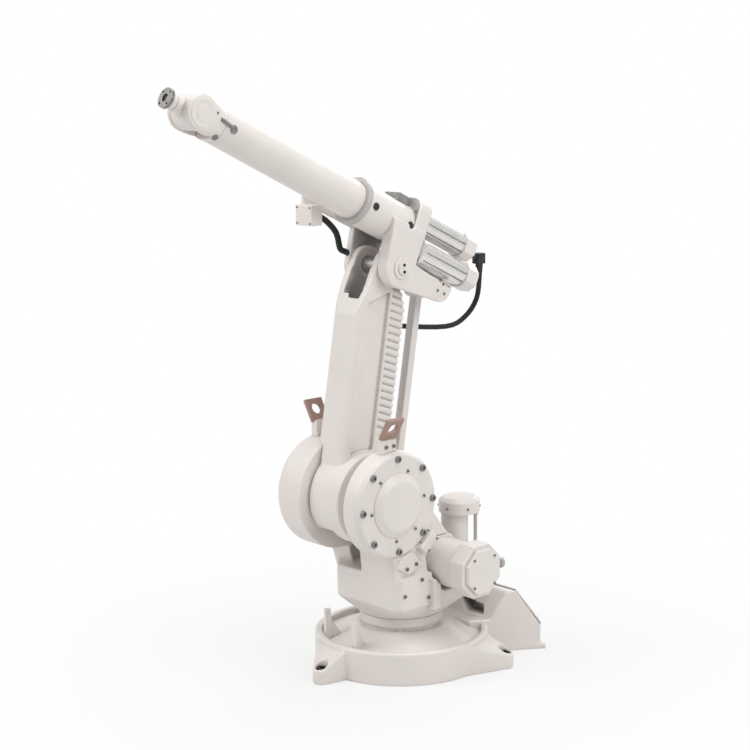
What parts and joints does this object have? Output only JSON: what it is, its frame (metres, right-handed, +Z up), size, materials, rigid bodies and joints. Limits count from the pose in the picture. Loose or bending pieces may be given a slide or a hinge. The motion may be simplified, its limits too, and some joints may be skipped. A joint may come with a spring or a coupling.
{
  "type": "industrial robot arm",
  "caption": "Floor-standing articulated welding robot arm with a parallel-rod elbow drive, exposed joint motors, tubular forearm, lifting lugs and a bolted base.",
  "frame": {"origin": "on the floor under the first, upright turning axis", "axes": "+X forward along the arm, +Y to the arm's left, +Z up"},
  "size_m": [1.072, 0.5416, 1.5347],
  "materials": {
    "white_paint": "soft gloss",
    "gasket": "matt",
    "socket_metal": "satin",
    "machined_steel": "turned",
    "lug_paint": "satin",
    "motor_metal": "gloss",
    "dark_steel": "turned",
    "black_plastic": "matt",
    "cable_rubber": "satin"
  },
  "bodies": {
    "base": {"base_casting": "white_paint", "stop_posts": "white_paint", "rear_housing": "white_paint", "rear_gasket": "gasket", "rear_cover": "white_paint", "cable_sockets": "socket_metal"},
    "turret": {"turning_ring": "machined_steel", "turret_frame": "white_paint", "axis2_gearbox": "white_paint", "axis2_cover": "white_paint", "axis3_gearbox": "white_paint", "axis3_cover": "white_paint", "axis2_motor": "white_paint", "axis2_motor_cap": "white_paint", "axis3_motor": "white_paint", "axis3_motor_cap": "white_paint", "axis1_motor": "white_paint", "axis1_motor_cap": "white_paint", "axis1_connector": "socket_metal", "lug_feet": "white_paint", "left_lifting_lug": "lug_paint", "right_lifting_lug": "lug_paint"},
    "lower_arm": {"lower_arm_casting": "white_paint", "elbow_shaft": "machined_steel", "lower_gland": "black_plastic"},
    "crank": {"crank_lever": "white_paint", "crank_pin": "machined_steel"},
    "parallel_rod": {"linkage_rod": "white_paint"},
    "upper_arm": {"upper_arm_housing": "white_paint", "front_collar": "white_paint", "elbow_cap": "white_paint", "ear_pin": "machined_steel", "rear_motors": "motor_metal", "rear_motor_caps": "white_paint", "rear_connector": "black_plastic", "side_plugs": "black_plastic", "top_box": "black_plastic", "signal_box": "white_paint", "front_cable": "cable_rubber", "front_glands": "black_plastic", "rear_cable": "cable_rubber"},
    "forearm": {"forearm_tube": "white_paint", "wrist_fork": "white_paint"},
    "wrist": {"wrist_housing": "white_paint"},
    "tool": {"tool_flange": "dark_steel"}
  },
  "joints": [
    {"name": "axis_1", "type": "hinge", "parent": "base", "child": "turret", "pos_m": [0, 0, 0], "axis": [0, 0, 1], "range_deg": [-170, 170]},
    {"name": "axis_2", "type": "hinge", "parent": "turret", "child": "lower_arm", "pos_m": [0.15, 0, 0.475], "axis": [0, 1, 0], "range_deg": [-60, 80]},
    {"name": "axis_3", "type": "hinge", "parent": "lower_arm", "child": "upper_arm", "pos_m": [0.04581, 0, 1.06588], "axis": [0, -1, 0], "range_deg": [-80, 50], "deforming": ["rear_cable"]},
    {"name": "crank_turn", "type": "hinge", "parent": "lower_arm", "child": "crank", "pos_m": [0.15, 0, 0.475], "axis": [0, -1, 0], "range_deg": [-80, 50]},
    {"name": "rod_turn", "type": "hinge", "parent": "crank", "child": "parallel_rod", "pos_m": [0.00715, 0, 0.40748], "axis": [0, -1, 0], "range_deg": [-50, 80]},
    {"name": "axis_4", "type": "hinge", "parent": "upper_arm", "child": "forearm", "pos_m": [-0.00248, 0, 1.16805], "axis": [0.9041, 0, 0.4274], "range_deg": [-150, 150]},
    {"name": "axis_5", "type": "hinge", "parent": "forearm", "child": "wrist", "pos_m": [0.64846, 0, 1.47574], "axis": [0, 1, 0], "range_deg": [-115, 115]},
    {"name": "axis_6", "type": "hinge", "parent": "wrist", "child": "tool", "pos_m": [0.64846, 0, 1.47574], "axis": [0.9041, 0, 0.4274], "range_deg": [-300, 300]}
  ],
  "couplings": [
    {"joint": "crank_turn", "follows": "axis_3", "ratio": 1},
    {"joint": "rod_turn", "follows": "axis_3", "ratio": -1}
  ]
}
